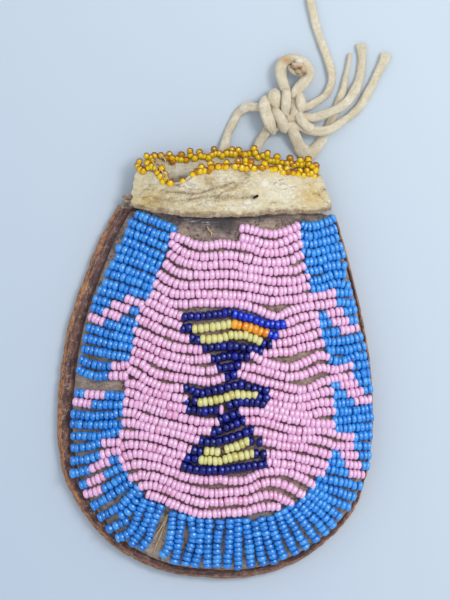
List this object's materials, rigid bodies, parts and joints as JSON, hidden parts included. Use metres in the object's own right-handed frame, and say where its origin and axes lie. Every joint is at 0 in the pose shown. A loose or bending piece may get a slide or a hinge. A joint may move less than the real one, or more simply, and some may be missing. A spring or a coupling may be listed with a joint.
{
  "type": "beaded hide pouch",
  "caption": "Small flat hide pouch with a rounded bottom, strung-bead rows on its front, a soft skin collar with beaded lips and knotted thong ends.",
  "frame": {"origin": "centre of the footprint of the pouch lying on its back, on the surface it rests on", "axes": "+Z out of the beaded front, +Y to the mouth, +X to the right of the front"},
  "size_m": [0.0833, 0.1493, 0.0148],
  "materials": {
    "hide_brown": "worn thick hide",
    "hide_grey": "worn thin hide",
    "buckskin": "soft matte skin",
    "bead_blue": "opaque gloss",
    "bead_pink": "opaque gloss",
    "bead_navy": "opaque gloss",
    "bead_cobalt": "opaque gloss",
    "bead_yellow": "opaque gloss",
    "bead_orange": "opaque gloss",
    "bead_amber": "clear gloss"
  },
  "bodies": {
    "root": {"back_panel": "hide_brown", "collar": "buckskin", "collar_stitch": "buckskin", "edging_back": "bead_amber", "edging_front": "bead_amber", "field_left": "bead_pink", "field_lower": "bead_pink", "field_right": "bead_pink", "field_upper": "bead_pink", "figure_cobalt": "bead_cobalt", "figure_navy": "bead_navy", "figure_orange": "bead_orange", "figure_yellow_lower": "bead_yellow", "figure_yellow_middle": "bead_yellow", "figure_yellow_upper": "bead_yellow", "front_panel": "hide_grey", "knot": "buckskin", "knot_ring": "buckskin", "lane_bottom_blue_1": "bead_blue", "lane_left_blue_1": "bead_blue", "lane_left_blue_2": "bead_blue", "lane_left_blue_3": "bead_blue", "lane_left_blue_4": "bead_blue", "lane_left_blue_5": "bead_blue", "lane_left_pink_1": "bead_pink", "lane_left_pink_2": "bead_pink", "lane_left_pink_3": "bead_pink", "lane_left_pink_4": "bead_pink", "lane_right_blue_1": "bead_blue", "lane_right_blue_2": "bead_blue", "lane_right_blue_3": "bead_blue", "lane_right_blue_4": "bead_blue", "lane_right_pink_1": "bead_pink", "lane_right_pink_2": "bead_pink", "lane_right_pink_3": "bead_pink", "tail_flared": "buckskin", "tail_long": "buckskin", "tail_looped": "buckskin", "tail_short": "buckskin", "thong_left": "buckskin", "thong_right": "buckskin"}
  },
  "joints": []
}
